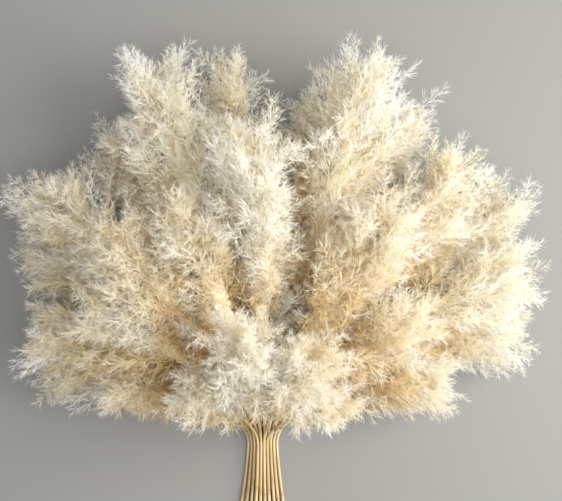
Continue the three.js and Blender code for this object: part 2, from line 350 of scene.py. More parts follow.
def planned_stems():
    """Every stem, with the places where its plume and its lowest branchlets begin."""
    stems = []
    for level, row in enumerate(ROWS):
        for place, measures in enumerate(row):
            stems.append(Stem(len(stems) + 1, level, place, len(row), measures))
    for stem in stems:
        free = room_at(stem.samples, stem, stems) > LEAST_ROOM
        stem.plume_start = np.argmax(free) / LINE_SAMPLES
        stem.fluff_start = stem.plume_start - FLUFF_AHEAD / stem.length
    return stems


STEMS = planned_stems()


def in_frame(points):
    """From millimetres, measured from the fan point, to the frame's metres."""
    return (points - BOX_MIDDLE) * MM


# ---- Hairs and branchlets, in metres ----
# A pair is what holds at the base and at the tip. A range is that of the random factor on it.

REFERENCE = 0.1  # length of the branchlets that are modelled
HAIR_RADIUS = 0.58  # makes a three-sided hair one unit wide
HAIR_BOW, HAIR_BEND = 0.9, 0.3  # how far a hair bows, in widths, and where along it
STALK_SIDES, STALK_RINGS, STALK_TIP = 3, 5, 0.98
STALK_RADIUS = 0.0007
STALK_TAPER = 1.1  # a stalk's radius would reach zero this far along it
KINDS = 8  # how many different branchlets are modelled of each sort, full and sparse
FULL, SPARSE = (12, 12), (5, 5)  # twigs on a branchlet, and hairs on a twig

TWIG_PLACE, TWIG_PLACE_RANGE, TWIG_CROWDING = (0.08, 0.98), (0.1, 0.9), 0.78
TWIG_TURN_SPREAD = 0.4
TWIG_OPEN, TWIG_OPEN_RANGE = (54, 30), (0.5, 1.35)  # degrees from the branchlet
TWIG_LENGTH, TWIG_LENGTH_RANGE = (0.030, 0.015), (0.7, 1.2)
TWIG_WIDTH = 0.0009

HAIR_CROWDING = 0.8
HAIR_SCATTER = 0.0008  # of a hair's root round its twig
HAIR_OPEN, HAIR_OPEN_RANGE = (54, 28), (0.2, 1.4)  # degrees from the twig
HAIR_LENGTHS, HAIR_LENGTH_RANGE = (1.05, 0.82), (0.45, 1.0)
HAIR_WIDTHS, HAIR_WIDTH_RANGE = (1.25, 0.72), (0.65, 1.2)

# A shade runs from 0 inside to 1 at the tips: golden inside, which is partly the hairs' own colour and partly
# painted shade in the depths among them. This is what the place on each of these adds to it
SHADE_BY_BRANCHLET, SHADE_BY_TWIG, SHADE_BY_HAIR = 0.42, 0.2, 0.38
TWIG_SHADE = 0.3
STALK_SHADE = (0.2, 0.6)


def blade():
    """One hair of unit length along +Z: one unit wide at its bend, and pointed at its root and its end."""
    deselected()
    bpy.ops.mesh.primitive_cone_add(vertices=3, radius1=HAIR_RADIUS, radius2=0, depth=1, location=(0, 0, 0.5))
    bpy.ops.object.transform_apply(location=True, rotation=True, scale=True)
    places, triangles = taken(bpy.context.object)
    root = np.argmax(places[:, 1] - places[:, 2])
    bend = (places[:, 2] < 0.5) & (np.arange(len(places)) != root)
    places[root] = 0
    places[bend, 1:] = (-HAIR_BOW, HAIR_BEND)
    return places, triangles


def stalk(sides, rings):
    """A stalk of unit length and radius along +Z, with rings for its bend. It tapers a little."""
    deselected()
    bpy.ops.mesh.primitive_cone_add(
        vertices=sides, radius1=1, radius2=STALK_TIP, depth=1, location=(0, 0, 0.5)
    )
    bpy.ops.object.transform_apply(location=True, rotation=True, scale=True)
    bpy.ops.object.mode_set(mode="EDIT")
    for ring in range(1, rings):
        bpy.ops.mesh.select_all(action="SELECT")
        bpy.ops.mesh.bisect(plane_co=(0, 0, ring / rings), plane_no=(0, 0, 1))
    bpy.ops.object.mode_set(mode="OBJECT")
    return taken(bpy.context.object)


def placed(model, root, heading, side, width, length):
    """Copies of a unit model: rooted, turned to its heading, and given its width and length."""
    places, faces = model
    other = np.cross(heading, side)
    made = (
        root[:, None, :]
        + side[:, None, :] * (places[:, 0] * width[:, None])[..., None]
        + other[:, None, :] * (places[:, 1] * width[:, None])[..., None]
        + heading[:, None, :] * (places[:, 2] * length[:, None])[..., None]
    )
    triangles = faces[None] + (np.arange(len(root)) * len(places))[:, None, None]
    return made.reshape(-1, 3), triangles.reshape(-1, 3)


def turned_from(axis, open_, turn):
    """Directions that open from their axes by an angle, on the side that a turn gives."""
    side = square_to(axis, ASKEW)
    other = np.cross(axis, side)
    out = side * np.cos(turn)[:, None] + other * np.sin(turn)[:, None]
    return axis * np.cos(open_)[:, None] + out * np.sin(open_)[:, None]


def branchlet(random, hair, body, twigs, hairs, settings):
    """A straight branchlet along +Z: places with z as a share of its length, triangles, and shades."""
    s = (np.arange(twigs) + random.uniform(*TWIG_PLACE_RANGE, twigs)) / twigs
    s = mix(*TWIG_PLACE, s ** TWIG_CROWDING)
    turn = np.arange(twigs) * GOLDEN_TURN + random.normal(0, TWIG_TURN_SPREAD, twigs)
    open_ = np.radians(mix(*TWIG_OPEN, s) * random.uniform(*TWIG_OPEN_RANGE, twigs))
    up = np.tile(UP, (twigs, 1))
    twig_way = turned_from(up, open_, turn)
    twig_length = mix(*TWIG_LENGTH, s) * random.uniform(*TWIG_LENGTH_RANGE, twigs)
    twig_root = up * (s * REFERENCE)[:, None]
    sides = square_to(twig_way, random.normal(0, 1, (twigs, 3)))
    twig_mesh = placed(hair, twig_root, twig_way, sides, np.full(twigs, TWIG_WIDTH), twig_length)

    count = twigs * hairs
    owner = np.repeat(np.arange(twigs), hairs)
    u = random.uniform(0, 1, count) ** HAIR_CROWDING
    root = twig_root[owner] + twig_way[owner] * (u * twig_length[owner])[:, None]
    root = root + random.normal(0, HAIR_SCATTER, (count, 3))
    open_ = np.radians(mix(*HAIR_OPEN, u) * random.uniform(*HAIR_OPEN_RANGE, count))
    way = turned_from(twig_way[owner], open_, random.uniform(0, 2 * math.pi, count))
    length = settings.hair_length * mix(*HAIR_LENGTHS, s[owner]) * random.uniform(*HAIR_LENGTH_RANGE, count)
    width = settings.hair_width * mix(*HAIR_WIDTHS, s[owner]) * random.uniform(*HAIR_WIDTH_RANGE, count)
    hair_mesh = placed(hair, root, way, square_to(way, random.normal(0, 1, (count, 3))), width, length)

    z = body[0][:, 2]
    radius = STALK_RADIUS * (STALK_TAPER - z)
    body_places = np.column_stack([body[0][:, 0] * radius, body[0][:, 1] * radius, z * REFERENCE])
    places, triangles = joined([hair_mesh, twig_mesh, (body_places, body[1])])
    along = hair[0][:, 2]
    by_place = s * SHADE_BY_BRANCHLET
    hair_shade = by_place[owner][:, None] + u[:, None] * SHADE_BY_TWIG + along[None] * SHADE_BY_HAIR
    twig_shade = by_place[:, None] + along[None] * TWIG_SHADE
    body_shade = mix(*STALK_SHADE, z)
    shade = np.concatenate([hair_shade.ravel(), twig_shade.ravel(), body_shade])
    size = len(hair[0])
    part_of = np.concatenate([np.repeat(np.arange(count + twigs), size), np.full(len(z), count + twigs)])
    smooth = np.arange(len(triangles)) >= len(hair_mesh[1]) + len(twig_mesh[1])
    places[:, 2] /= REFERENCE
    return {"places": places, "triangles": triangles, "shade": shade, "part_of": part_of, "smooth": smooth}


def bent(model, line, outward, length, spin):
    """Copies of a branchlet, each bent along its own line of root, middle and end, in metres."""
    root, middle, end = (p[:, None, :] for p in line)
    z = model["places"][:, 2]
    s = np.clip(z, 0, 1)[None, :, None]
    past = (np.maximum(z - 1, 0) + np.minimum(z, 0))[None, :, None]
    centre = (1 - s) ** 2 * root + 2 * (1 - s) * s * middle + s ** 2 * end
    tangent = unit(2 * (1 - s) * (middle - root) + 2 * s * (end - middle))
    centre = centre + tangent * past * length[:, None, None]
    normal = square_to(tangent, outward[:, None, :])
    across = np.cross(tangent, normal)
    x, y = model["places"][:, 0], model["places"][:, 1]
    wide = np.sqrt(length / REFERENCE)[:, None]
    turned_x = (np.cos(spin)[:, None] * x - np.sin(spin)[:, None] * y) * wide
    turned_y = (np.sin(spin)[:, None] * x + np.cos(spin)[:, None] * y) * wide
    return centre + normal * turned_x[..., None] + across * turned_y[..., None]


# ---- The plumes, in millimetres. A place on a plume runs from 0 at its base to 1 at its tip ----

TIP_ALLOWANCE = 52.0  # the last branchlets reach this far past the last root
CROWDING = 0.78  # below 1, the branchlets stand closer together towards a plume's tip
GROUP = 5  # branchlets that grow to one side together
MOST_GROUPS = 1000
GROUP_SPREAD = (0.42, 1.0)  # how far a group spreads, in radians, at the base and at the tip

# How long the branchlets are
GIRTH_REFERENCE = 62.0
FULL_AT_BASE, FULL_FROM, FULL_TO, FULL_AT_TIP = 0.62, 0.35, 0.6, 0.62
LONGEST_SHARE = 1.08
SHORTER_SHARE = (0.24, 0.6)  # by how much they may be shorter, at the base and at the tip
GROUP_LENGTH_RANGE = (0.86, 1.1)
LEAST_LENGTH = 17.0
SPARSE_BELOW = 36.0  # shorter branchlets need fewer hairs
DRAWN_IN = (1, 0.9, 0.8, 0.7, 0.6, 0.5, 0.42, 0.34, 0.27, 0.21)  # the lengths that are tried, until one fits
STRAY_SHARE, STRAY_END = 0.02, 0.6  # how many branchlets stray, and up to which place
STRAY_LONGER, STRAY_LOWER = 0.25, 26.0

# Where they head
OPEN_BASE, OPEN_TIP = 62.0, 38.0  # degrees between a branchlet and the plume's axis
OPEN_RANGE = (-0.3, 0.16)
SKIRT_LEVEL, SKIRT_SIDE = 2, -0.2  # the rows from this one on have a skirt, on the sides that face up
SKIRT_OPEN = 105.0
SKIRT_END = 0.3
SKIRT_FREE = 0.05  # where more of the skirt than this is left, branchlets lie over the neighbours
ROOM_SHARE = 1.25
ARCH = 0.1
WEEP, SKIRT_WEEP, WEEP_RANGE = 0.2, 0.5, (-0.05, 0.18)
WANDER, SWAY = 0.19, 0.08

# What limits them
FLOOR_GAP = 1.5
FLOOR_REST = 0.0002  # metres between the floor and the hairs that lie on it
CROSSING = 0.78  # below 1, branchlets of two plumes may pass between each other
ROOM_PLACES = (0.5, 0.75, 1.0)  # the places on a branchlet that are looked at
# Branchlets end this far inside the sides and the top of the box of the frame's solids, or outside it where
# the value is negative. Those of a skirt are free of this, as they are of the neighbours' room
BOX_MARGIN = np.array([3.0, -5.0, 6.0])
# No branchlet but a stray one ends nearer to the cut ends than this, measured from the fan point
LOWEST_END = -16.0
BURIED_BELOW = 8.0  # branchlets that are nearer to the floor than this are hidden
BURIED_PLACES = (0.6, 1.0)
COVER_SHARE, COVER_GAP = 0.55, 22.0  # a plume hides what is this near its line, in girths, and so far below

# Their tones, where 1 is bleached, and their depths, where 0 is golden as inside and 1 as pale as at the
# tips. Both are partly painted shade: they are lower at a plume's crowded base and where other plumes rise
# above it
TONE_LESS, TONE_SPREAD, GROUP_TONE_SPREAD = 0.06, 0.08, 0.17
BRIGHT_SHARE, BRIGHTER, BRIGHT_DEPTH = 0.12, 0.8, 0.3
# Partly painted shade: a plume's base, where the plumes crowd, is painted golden, more so in the two lower
# rows.
BASE_DEPTH = (0.22, 0.15, 0.35, 0.45)  # at a plume's base, in each row
PALE_BASE = (0.7, 1.05)  # the paler a plume is within this range, the paler its base
DEPTH_GROWS, TONE_GROWS = (0.05, 0.7), (0, 0.6)  # the places between which the base's colours give way
RISE_FADES = 0.6
# Painted shade: where other plumes rise above a branchlet, its hairs are painted more golden and duller, as
# if in their shadow.
SHADED_AT = 0.7  # the place on a branchlet that is looked at
SHADED_RISE = (0, 70)  # plumes are more golden where others rise so far above them
SHADED_PLACES = (0.4, 0.8)  # but not towards their tips
SHADED_DEEPER, SHADED_DULLER = 0.45, 0.6

# The dense fluff round the axis
CORE_SIDES, CORE_RINGS = 20, 44
CORE_SHARE, CORE_ROOM, CORE_TIP = 0.26, 0.44, 125.0
CORE_GROWS, CORE_END_POWER, CORE_LEAST = (-0.17, 0.34), 4, 1.5
CORE_SHAG = (0.72, 1.28)
# The core is painted golden at the plume's base and paler towards its tip: partly its own colour, partly
# painted shade, as with the hairs.
CORE_DEPTH, CORE_DEPTH_GROWS, CORE_SPREAD = (0.12, 0.42), (0, 0.6), 0.08
CORE_DEPTH_LIMITS = (0.05, 0.8)
CHART_LIMITS = (0.01, 0.99)
PLUME_SEED_STEP = 1000


def fullness(t):
    """How long the branchlets are at t, as a share of the longest."""
    from_base = mix(FULL_AT_BASE, 1, smooth_step(t, 0, FULL_FROM))
    to_tip = mix(1, FULL_AT_TIP, smooth_step(t, FULL_TO, 1))
    return from_base * to_tip


def branchlet_lines(stem, random, settings):
    """Root, middle and end of each branchlet of a plume, its outward direction, its length in mm, its place
    on the plume from 0 to 1, and its group."""
    axis_end = 1 - TIP_ALLOWANCE / stem.length
    axis_length = stem.length * (axis_end - stem.fluff_start)
    count = int(axis_length * MM / settings.spacing)
    t = ((np.arange(count) + 0.5) / count) ** CROWDING
    share = mix(stem.fluff_start, axis_end, t)
    root = stem.at(share)
    axis = stem.tangent(share)
    side = square_to(axis, UP)
    across = np.cross(axis, side)
    group = np.arange(count) // GROUP
    turn = GOLDEN_TURN * group + random.normal(0, 1, count) * mix(*GROUP_SPREAD, t ** 2)
    radial = side * np.cos(turn)[:, None] + across * np.sin(turn)[:, None]
    longest = settings.length / MM * stem.girth / GIRTH_REFERENCE
    full = longest * fullness(t)
    shorter = random.uniform(0, 1, count) * mix(*SHORTER_SHARE, t ** 3)
    length = full * (LONGEST_SHARE - shorter) * random.uniform(*GROUP_LENGTH_RANGE, count)[group]
    stray = (random.uniform(0, 1, count) < STRAY_SHARE) & (t < STRAY_END)
    length *= 1 + STRAY_LONGER * stray
    skirt = (stem.level >= SKIRT_LEVEL) * (radial[:, 2] > SKIRT_SIDE) * (1 - smooth_step(t, 0, SKIRT_END))
    opened = np.radians(mix(mix(OPEN_BASE, OPEN_TIP, t ** 2), SKIRT_OPEN, skirt))
    opened *= 1 + random.uniform(*OPEN_RANGE, count)
    room = room_at(root, stem, STEMS)
    within = np.arcsin(np.minimum(1, ROOM_SHARE * room / full))
    free = skirt > SKIRT_FREE
    open_ = np.where(free, opened, np.minimum(opened, within))
    heading = axis * np.cos(open_)[:, None] + radial * np.sin(open_)[:, None]
    heading = unit(heading + random.normal(0, WANDER, (count, 3)))
    sway = random.normal(0, SWAY, (count, 3))
    weep = mix(WEEP * (1 - t), SKIRT_WEEP, skirt) + random.uniform(*WEEP_RANGE, count)
    kept = np.zeros(count, bool)
    final = np.zeros(count)
    for drawn in DRAWN_IN:
        tried = length * drawn
        lines = line_of(root, heading, radial, sway, weep, tried)
        fits = (keeps_to_room(lines, stem) | free) & ~kept & (tried >= LEAST_LENGTH)
        fits &= lines[2][:, 1] > LOWEST_END - STRAY_LOWER * stray
        final[fits] = tried[fits]
        kept |= fits
    keep = np.flatnonzero(kept)
    lines = line_of(root[keep], heading[keep], radial[keep], sway[keep], weep[keep], final[keep])
    return lines, radial[keep], final[keep], t[keep], group[keep]


def line_of(root, heading, radial, sway, weep, length):
    """Root, middle and end of branchlets of some length: arched outward, their ends sinking back."""
    middle = root + heading * (length / 2)[:, None] + (radial * ARCH + sway) * length[:, None]
    end = root + heading * length[:, None] + BACK * (length * weep)[:, None]
    end[:, 2] = np.maximum(end[:, 2], FLOOR_GAP)
    middle[:, 2] = np.maximum(middle[:, 2], FLOOR_GAP)
    return root, middle, end


def on_line(lines, u):
    """The point at u on each line."""
    root, middle, end = lines
    return (1 - u) ** 2 * root + 2 * (1 - u) * u * middle + u ** 2 * end


def keeps_to_room(lines, stem):
    """Whether each line ends in the box, its outer half nearest its own stem or nearly so, in girths."""
    low, high = (np.array(corner) / MM + BOX_MIDDLE for corner in CAD_BOX)
    good = ((lines[2] > low + BOX_MARGIN) & (lines[2] < high - BOX_MARGIN))[:, :2].all(1)
    good &= lines[2][:, 2] < high[2] - BOX_MARGIN[2]
    for u in ROOM_PLACES:
        point = on_line(lines, u)
        own = distances(point, stem) / stem.girth
        for other in STEMS:
            if other is not stem:
                good &= distances(point, other) / other.girth >= own * CROSSING
    return good


def is_buried(lines, stem):
    """Whether other plumes lie over the outer half of a line, or the floor under it hides it."""
    buried = np.ones(len(lines[0]), bool)
    for u in BURIED_PLACES:
        point = on_line(lines, u)
        covered = point[:, 2] < BURIED_BELOW
        for other in STEMS:
            if other is stem:
                continue
            apart = point[:, None] - other.plume_samples()[None]
            near = np.hypot(apart[..., 0], apart[..., 1]) < COVER_SHARE * other.girth
            covered |= (near & (apart[..., 2] < -COVER_GAP)).any(1)
        buried &= covered
    return buried


def overtopped(points, stem):
    """How far other plumes rise above each point, in millimetres: less, the further away they are."""
    rise = np.full(len(points), -np.inf)
    for other in STEMS:
        if other is not stem:
            apart = other.plume_samples()[None] - points[:, None]
            away = np.hypot(apart[..., 0], apart[..., 1])
            rise = np.maximum(rise, (apart[..., 2] - RISE_FADES * away).max(1))
    return rise


def tints(stem, lines, t, group, random):
    """The tone and the depth of each branchlet's colours, with painted shade where other plumes rise above
    the branchlet.
    """
    count = len(t)
    bright = random.uniform(0, 1, MOST_GROUPS)[group] < BRIGHT_SHARE
    tone = random.normal(stem.pale - TONE_LESS, TONE_SPREAD, count)
    tone += random.normal(0, GROUP_TONE_SPREAD, MOST_GROUPS)[group]
    tone += BRIGHTER * bright
    # Partly painted shade: the base of a plume is painted more golden and duller.
    at_base = mix(BASE_DEPTH[stem.level], 1, smooth_step(stem.pale, *PALE_BASE))
    # Painted shade: branchlets under higher plumes are painted more golden and duller, though not towards
    # their tips nor in the bright tufts.
    painted_shade = smooth_step(overtopped(on_line(lines, SHADED_AT), stem), *SHADED_RISE)
    painted_shade *= (1 - smooth_step(t, *SHADED_PLACES)) * (1 - bright)
    depth = mix(at_base, 1, smooth_step(t, *DEPTH_GROWS)) * (1 - SHADED_DEEPER * painted_shade)
    depth += BRIGHT_DEPTH * bright
    tone *= mix(at_base, 1, np.maximum(smooth_step(t, *TONE_GROWS), bright)) * (1 - SHADED_DULLER * painted_shade)
    return tone, depth


def plume(stem, models, core, material, settings):
    """One plume: bent copies of the full and sparse branchlets, round a core."""
    random = np.random.default_rng(settings.seed * PLUME_SEED_STEP + stem.number)
    lines, radial, length, t, group = branchlet_lines(stem, random, settings)
    count = len(length)
    grade = (is_buried(lines, stem) | (length < SPARSE_BELOW)).astype(int)
    which = random.integers(0, len(models[0]), count)
    spin = random.uniform(0, 2 * math.pi, count)
    tone, depth = tints(stem, lines, t, group, random)
    parts, charts, smooth = [], [], []
    for sparse, kinds in enumerate(models):
        for kind, model in enumerate(kinds):
            chosen = np.flatnonzero((which == kind) & (grade == sparse))
            if not len(chosen):
                continue
            line = [in_frame(p[chosen]) for p in lines]
            made = bent(model, line, radial[chosen], length[chosen] * MM, spin[chosen])
            made = lifted(made, model["part_of"])
            size = len(model["places"])
            offsets = np.arange(len(chosen)) * size
            triangles = (model["triangles"][None] + offsets[:, None, None]).reshape(-1, 3)
            parts.append((made.reshape(-1, 3), triangles))
            smooth.append(np.tile(model["smooth"], len(chosen)))
            u = tone[chosen][:, None] + np.zeros(size)[None, :]
            v = model["shade"][None] * depth[chosen][:, None]
            charts.append(np.stack([u, v], -1).reshape(-1, 2))
    places, triangles, core_chart = core_mesh(stem, core, random)
    parts.append((places, triangles))
    charts.append(core_chart)
    smooth.append(np.ones(len(triangles), bool))
    piece = mesh_piece(f"pampas_plume_{stem.number:02d}", *joined(parts), material)
    piece.data.polygons.foreach_set("use_smooth", np.concatenate(smooth))
    chart(piece, "OFBake", np.clip(np.concatenate(charts), *CHART_LIMITS))
    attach(piece, "root")
    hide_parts(f"plume_{stem.number:02d}")
    return piece


def core_mesh(stem, model, random):
    """The dense fluff round a plume's axis: shaggy, and slender where the neighbours leave little room."""
    places, triangles = model
    t = places[:, 2]
    share = mix(stem.plume_start, 1 - CORE_TIP / stem.length, t)
    centre = stem.at(share)
    tangent = stem.tangent(share)
    side = square_to(tangent, UP)
    across = np.cross(tangent, side)
    grown = smooth_step(t, *CORE_GROWS) * np.sqrt(np.clip(1 - t ** CORE_END_POWER, 0, 1))
    radius = np.minimum(CORE_SHARE * stem.girth * grown, CORE_ROOM * room_at(centre, stem, STEMS))
    radius = np.maximum(radius, CORE_LEAST) * random.uniform(*CORE_SHAG, len(t))
    made = centre + side * (places[:, 0] * radius)[:, None] + across * (places[:, 1] * radius)[:, None]
    made[:, 2] = np.maximum(made[:, 2], FLOOR_GAP)
    depth = mix(*CORE_DEPTH, smooth_step(t, *CORE_DEPTH_GROWS)) + random.normal(0, CORE_SPREAD, len(t))
    tone = stem.pale + random.normal(0, CORE_SPREAD, len(t))
    return in_frame(made), triangles, np.stack([tone, np.clip(depth, *CORE_DEPTH_LIMITS)], -1)


def lifted(made, part_of):
    """Raises each hair that would pass through the floor until it lies on it."""
    count = part_of.max() + 1
    low = np.full((len(made), count), np.inf)
    for i in range(len(made)):
        np.minimum.at(low[i], part_of, made[i, :, 2])
    made[..., 2] += np.maximum(FLOOR_REST - low, 0)[:, part_of]
    return made


# ---- The culms ----

CULM_SIDES, CULM_RINGS = 14, 72
CULM_SEED = 5000
INTO_PLUME = 14.0  # how far a culm goes on inside its plume
TAIL_SPREAD, TAIL_FLARE = 1.9, 1.5  # how far the cut ends spread, in slots, and how late they do
TAIL_SAMPLES = 60
BEND_REACH = 8.0  # bends are rounded over this far on both sides
TAPER = 0.1
NODES, FIRST_NODE = 4, (50, 105)
NODE_SPACING, NODE_SPACING_RANGE = 118.0, (0.92, 1.08)
NODE_WIDTH, NODE_SWELL = 2.2, 0.16
NODE_RINGS = 0.0013 * np.array([-3, -1.5, 0, 1.5, 3])  # the rings round a node, in shares of a culm's length
LAST_NODE = 0.98
SHEATH, SHEATH_END, SHEATH_RANGE = 0.07, 62.0, (0.6, 1.1)  # thickness, in radii, and length above a node
SHEATH_MARK = 0.35  # how dark it is, against the node
PITH, PITH_DEPTH = 0.8, 0.5
PITH_RIM = 0.9  # in radii: between the pith's edge and the outside
GRAIN_STEP = 700  # from one culm's grain to the next one's


def culm_model():
    """A stalk of unit length and radius whose cut end has a rim round a sunken pith."""
    deselected()
    bpy.ops.mesh.primitive_cone_add(
        vertices=CULM_SIDES, radius1=1, radius2=0.999, depth=1, location=(0, 0, 0.5)
    )
    bpy.ops.object.transform_apply(location=True, rotation=True, scale=True)
    thing = bpy.context.object
    for face in thing.data.polygons:
        face.select = face.center.z < 0.01
    bpy.ops.object.mode_set(mode="EDIT")
    bpy.ops.mesh.select_mode(type="FACE")
    bpy.ops.mesh.inset(thickness=1 - PITH)
    bpy.ops.mesh.select_mode(type="VERT")
    for ring in range(1, CULM_RINGS):
        bpy.ops.mesh.select_all(action="SELECT")
        bpy.ops.mesh.bisect(plane_co=(0, 0, ring / CULM_RINGS), plane_no=(0, 0, 1))
    bpy.ops.object.mode_set(mode="OBJECT")
    return taken(thing)


def culm_line(stem, tail):
    """Points along a culm, in millimetres, from its cut end into its plume."""
    share = np.linspace(1, 0, TAIL_SAMPLES, endpoint=False)[:, None]
    spread = mix(1, TAIL_SPREAD, share ** TAIL_FLARE)
    back = np.hstack([stem.slot_x * spread, -GATHERED - tail * share, np.full_like(share, stem.slot_z)])
    end = stem.plume_start + INTO_PLUME / stem.length
    return np.concatenate([back, stem.at(np.linspace(0, end, 2 * LINE_SAMPLES))])


def culm(stem, model, material):
    """One culm: the model, bent along its line, with nodes, leaf sheaths and a sunken pith."""
    random = np.random.default_rng(CULM_SEED + stem.number)
    places, triangles = model
    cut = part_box(f"culm_{stem.number:02d}")[0][1] / MM + BOX_MIDDLE[1]
    points = culm_line(stem, -GATHERED - cut)
    run = np.concatenate([[0], np.cumsum(np.linalg.norm(np.diff(points, axis=0), axis=1))])

    first, spacing = random.uniform(*FIRST_NODE), random.uniform(*NODE_SPACING_RANGE)
    nodes = first + NODE_SPACING * np.arange(NODES) * spacing
    z = snapped_to_nodes(places[:, 2], nodes / run[-1])
    along = z * run[-1]

    def at(distance):
        return np.column_stack([np.interp(distance, run, axis) for axis in points.T])

    reach = np.minimum(BEND_REACH, along)
    centre = np.mean([at(along + reach * share) for share in (-1, -0.5, 0, 0.5, 1)], axis=0)
    tangent = unit(at(along + BEND_REACH) - at(along - BEND_REACH))
    side = square_to(tangent, UP)
    across = np.cross(tangent, side)

    past = along[:, None] - nodes[None, :]
    swell = np.exp(-(past / NODE_WIDTH) ** 2).max(1)
    sheathed = ((past > 0) & (past < SHEATH_END * random.uniform(*SHEATH_RANGE))).any(1)
    rim = np.hypot(places[:, 0], places[:, 1])
    radius = CULM_RADIUS * (1 - TAPER * z + NODE_SWELL * swell + SHEATH * sheathed)
    made = centre + side * (places[:, 0] * radius)[:, None] + across * (places[:, 1] * radius)[:, None]
    in_pith = (rim < PITH_RIM) & (z < 0.5)
    made += tangent * (PITH_DEPTH * in_pith)[:, None]

    piece = mesh_piece(f"pampas_culm_{stem.number:02d}", in_frame(made), triangles, material)
    flat = np.abs(np.ptp(places[triangles][:, :, 2], axis=1)) < 1e-6
    piece.data.polygons.foreach_set("use_smooth", ~flat)
    straight = np.column_stack([places[:, :2] * CULM_RADIUS, along + GRAIN_STEP * stem.number])
    point_attribute(piece, "grain", straight)
    tone = np.full(len(z), random.uniform(0, 1))
    dark = np.maximum(swell, SHEATH_MARK * sheathed)
    point_attribute(piece, "marks", np.column_stack([dark, in_pith, tone]))
    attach(piece, "root")
    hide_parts(f"culm_{stem.number:02d}")
    return piece


def snapped_to_nodes(z, nodes):
    """The rings' places along a culm, with those next to each node drawn to it."""
    levels = np.unique(np.round(z, 6))
    moved = levels.copy()
    reach = len(NODE_RINGS) // 2
    for node in nodes[nodes < LAST_NODE]:
        nearest = int(np.argmin(np.abs(levels - node)))
        if reach + 1 < nearest < len(levels) - reach - 1:
            moved[nearest - reach:nearest + reach + 1] = node + NODE_RINGS
    return np.interp(z, levels, np.sort(moved))


def point_attribute(thing, name, vectors):
    """A vector for each vertex, for a material to read."""
    attribute = thing.data.attributes.new(name, "FLOAT_VECTOR", "POINT")
    attribute.data.foreach_set("vector", vectors.astype(np.float32).ravel())


# ---- Materials ----


def new_material(name):
    """A material with nothing but a shader: the material, its node tree and the shader."""
    material = bpy.data.materials.new(name)
    material.use_nodes = True
    tree = material.node_tree
    tree.nodes.clear()
    shader = tree.nodes.new("ShaderNodeBsdfPrincipled")
    output = tree.nodes.new("ShaderNodeOutputMaterial")
    tree.links.new(shader.outputs["BSDF"], output.inputs["Surface"])
    return material, tree, shader


def silk_material(settings):
    """Silky hairs: golden next to the axis, cream halfway, nearly white at the tips. The golden inside is
    partly the hairs' own colour and partly painted shade.
    """
    material, tree, shader = new_material("pampas silk")
    place = tree.nodes.new("ShaderNodeUVMap")
    place.uv_map = "OFBake"
    split = tree.nodes.new("ShaderNodeSeparateXYZ")
    tree.links.new(place.outputs["UV"], split.inputs["Vector"])
    golden = ramp(tree, [(0.0, settings.deep), (0.36, settings.warm), (0.86, settings.pale)])
    bleached = ramp(tree, [
        (0.0, settings.deep), (0.13, settings.warm), (0.36, settings.pale), (0.73, settings.white),
    ])
    tree.links.new(split.outputs["Y"], golden.inputs["Fac"])
    tree.links.new(split.outputs["Y"], bleached.inputs["Fac"])
    colour = blended(tree, "MIX", split.outputs["X"], golden.outputs["Color"], bleached.outputs["Color"])
    tree.links.new(colour, shader.inputs["Base Color"])
    shader.inputs["Roughness"].default_value = 0.75
    shader.inputs["Specular IOR Level"].default_value = 0.25
    shader.inputs["Subsurface Weight"].default_value = 0.6
    shader.inputs["Subsurface Scale"].default_value = 0.004
    shader.inputs["Subsurface Radius"].default_value = (1, 0.85, 0.6)
    shader.inputs["Sheen Weight"].default_value = 0.3
    shader.inputs["Sheen Roughness"].default_value = 0.5
    return material


def straw_material(settings):
    """Dry straw: streaked along its length, darker at the nodes, with a pale, open pith at the cut end."""
    material, tree, shader = new_material("pampas straw")
    new, link = tree.nodes.new, tree.links.new
    grain, marks = new("ShaderNodeAttribute"), new("ShaderNodeAttribute")
    grain.attribute_name, marks.attribute_name = "grain", "marks"
    split = new("ShaderNodeSeparateXYZ")
    link(marks.outputs["Vector"], split.inputs["Vector"])

    def noise(scale, detail):
        stretched = new("ShaderNodeMapping")
        stretched.inputs["Scale"].default_value = scale
        link(grain.outputs["Vector"], stretched.inputs["Vector"])
        texture = new("ShaderNodeTexNoise")
        texture.inputs["Scale"].default_value = 1.0
        texture.inputs["Detail"].default_value = detail
        link(stretched.outputs["Vector"], texture.inputs["Vector"])
        return texture.outputs["Fac"]

    streaks = noise((1.3, 1.3, 0.03), 4)
    blotches = noise((0.12, 0.12, 0.02), 3)
    fibres = noise((4.5, 4.5, 0.06), 2)
    speckles = noise((3.0, 3.0, 3.0), 3)
    straw = ramp(tree, [(0.3, settings.streak), (0.46, settings.straw), (0.75, settings.pith)])
    link(streaks, straw.inputs["Fac"])
    aged = ramp(tree, [(0.35, (0.72, 0.68, 0.58)), (0.65, (1.0, 1.0, 1.0))])
    link(blotches, aged.inputs["Fac"])
    colour = blended(tree, "MULTIPLY", 0.8, straw.outputs["Color"], aged.outputs["Color"])
    toned = blended(tree, "MULTIPLY", split.outputs["Z"], colour, (0.9, 0.84, 0.72, 1))
    noded = blended(tree, "MIX", split.outputs["X"], toned, (*settings.streak, 1))
    speckled = ramp(tree, [(0.42, settings.streak), (0.56, settings.pith)])
    link(speckles, speckled.inputs["Fac"])
    ended = blended(tree, "MIX", split.outputs["Y"], noded, speckled.outputs["Color"])
    link(ended, shader.inputs["Base Color"])
    bump = new("ShaderNodeBump")
    bump.inputs["Strength"].default_value = 0.5
    bump.inputs["Distance"].default_value = 0.0003
    link(fibres, bump.inputs["Height"])
    link(bump.outputs["Normal"], shader.inputs["Normal"])
    shader.inputs["Roughness"].default_value = 0.52
    shader.inputs["Specular IOR Level"].default_value = 0.4
    return material


